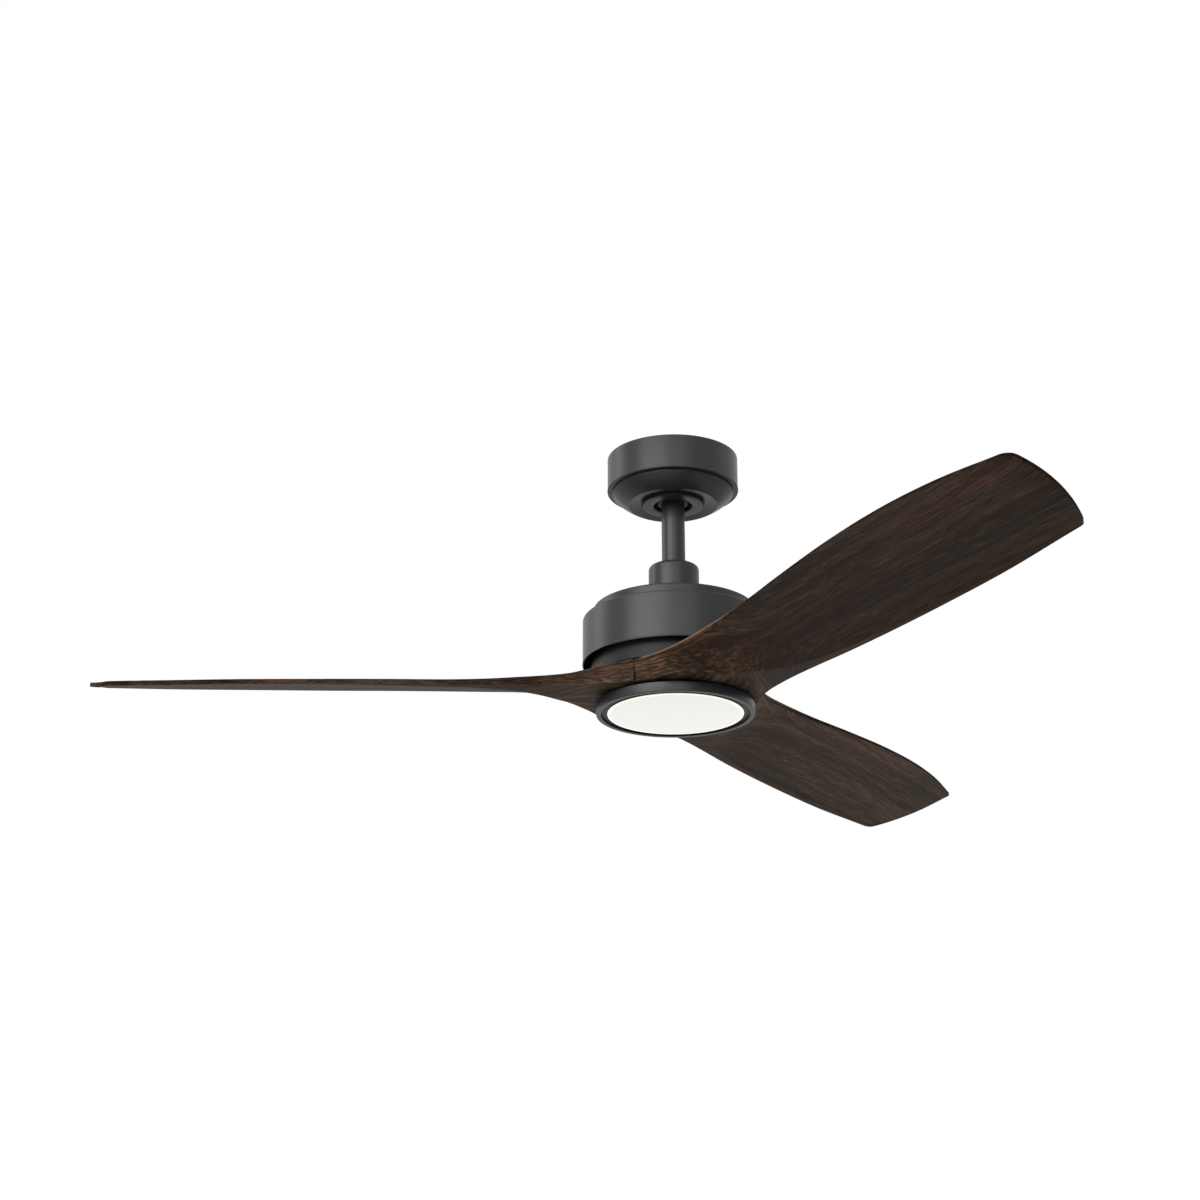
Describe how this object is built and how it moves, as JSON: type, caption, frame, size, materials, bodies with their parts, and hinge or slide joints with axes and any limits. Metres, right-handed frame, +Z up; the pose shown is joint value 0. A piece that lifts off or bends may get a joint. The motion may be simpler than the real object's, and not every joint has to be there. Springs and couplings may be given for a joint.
{
  "type": "ceiling fan with light",
  "caption": "Ceiling fan with twisted wooden blades under a drum motor housing, hung by a short downrod from a round canopy, with a flat round lamp below",
  "frame": {"origin": "centre of the bracket's face against the ceiling", "axes": "+Z up, into the ceiling; the downrod and the rotor's axis run along -Z; the outlet box slots lie along X; the ball seat opens towards -Y"},
  "size_m": [1.0425, 1.1685, 0.31],
  "materials": {
    "graphite_metal": "satin dark grey",
    "black_metal": "matte black",
    "galvanised_steel": "dull galvanised",
    "machined_steel": "machined",
    "cast_aluminium": "cast",
    "core_steel": "laminated",
    "magnet": "dark sintered",
    "copper_wire": "enamelled copper",
    "black_plastic": "matte",
    "white_plastic": "matte",
    "wire_insulation": "coloured insulation",
    "dark_wood": "dark walnut, satin",
    "opal_lens": "opal, lit from inside",
    "clear_acrylic": "clear",
    "led_phosphor": "yellow phosphor",
    "white_metal": "white enamel"
  },
  "bodies": {
    "ceiling_group": {"ceiling_bracket": "galvanised_steel", "canopy": "graphite_metal", "canopy_screws": "black_metal", "canopy_cover": "graphite_metal", "canopy_collar": "graphite_metal", "remote_receiver": "black_plastic", "receiver_leads": "wire_insulation"},
    "hung_group": {"hanger_ball": "black_metal", "ball_cross_pin": "machined_steel", "ball_set_screw": "black_metal", "downrod": "graphite_metal", "lead_wires": "wire_insulation", "lead_connector": "white_plastic", "yoke_cover": "graphite_metal", "motor_yoke": "cast_aluminium", "clevis_pin": "machined_steel", "cotter_pin": "machined_steel", "yoke_set_screws": "black_metal", "housing_screws": "black_metal", "motor_housing": "graphite_metal", "motor_shaft": "machined_steel", "stator_core": "core_steel", "stator_windings": "copper_wire", "bearing_inner_races": "machined_steel", "lamp_bracket": "galvanised_steel", "shaft_nuts": "machined_steel", "lamp_driver": "white_plastic", "lamp_leads": "wire_insulation", "lamp_pan": "white_metal", "pan_screws": "machined_steel", "led_strip": "white_plastic", "led_chips": "led_phosphor", "reflector_sheet": "white_plastic", "light_guide": "clear_acrylic"},
    "rotor": {"bearing_balls": "machined_steel", "bearing_outer_races": "machined_steel", "rotor_top_bell": "cast_aluminium", "rotor_bottom_bell": "cast_aluminium", "rotor_magnets": "magnet", "rotor_bolts": "black_metal", "blade_flange": "black_metal", "flange_screws": "black_metal", "blade_left": "dark_wood", "blade_near": "dark_wood", "blade_far": "dark_wood", "blade_screws": "black_metal", "blade_washers": "machined_steel"},
    "lens_group": {"lamp_ring": "graphite_metal", "lamp_lens": "opal_lens", "lens_clips": "machined_steel"}
  },
  "joints": [
    {"name": "hanger_tilt", "type": "hinge", "parent": "ceiling_group", "child": "hung_group", "pos_m": [0, 0, -0.04], "axis": [1, 0, 0], "range_deg": [-15, 15], "deforming": ["receiver_leads"]},
    {"name": "rotor_spin", "type": "hinge", "parent": "hung_group", "child": "rotor", "pos_m": [0, 0, -0.25], "axis": [0, 0, 1], "continuous": true},
    {"name": "lens_twist", "type": "hinge", "parent": "hung_group", "child": "lens_group", "pos_m": [0, 0, -0.304], "axis": [0, 0, 1], "range_deg": [0, 18]}
  ]
}
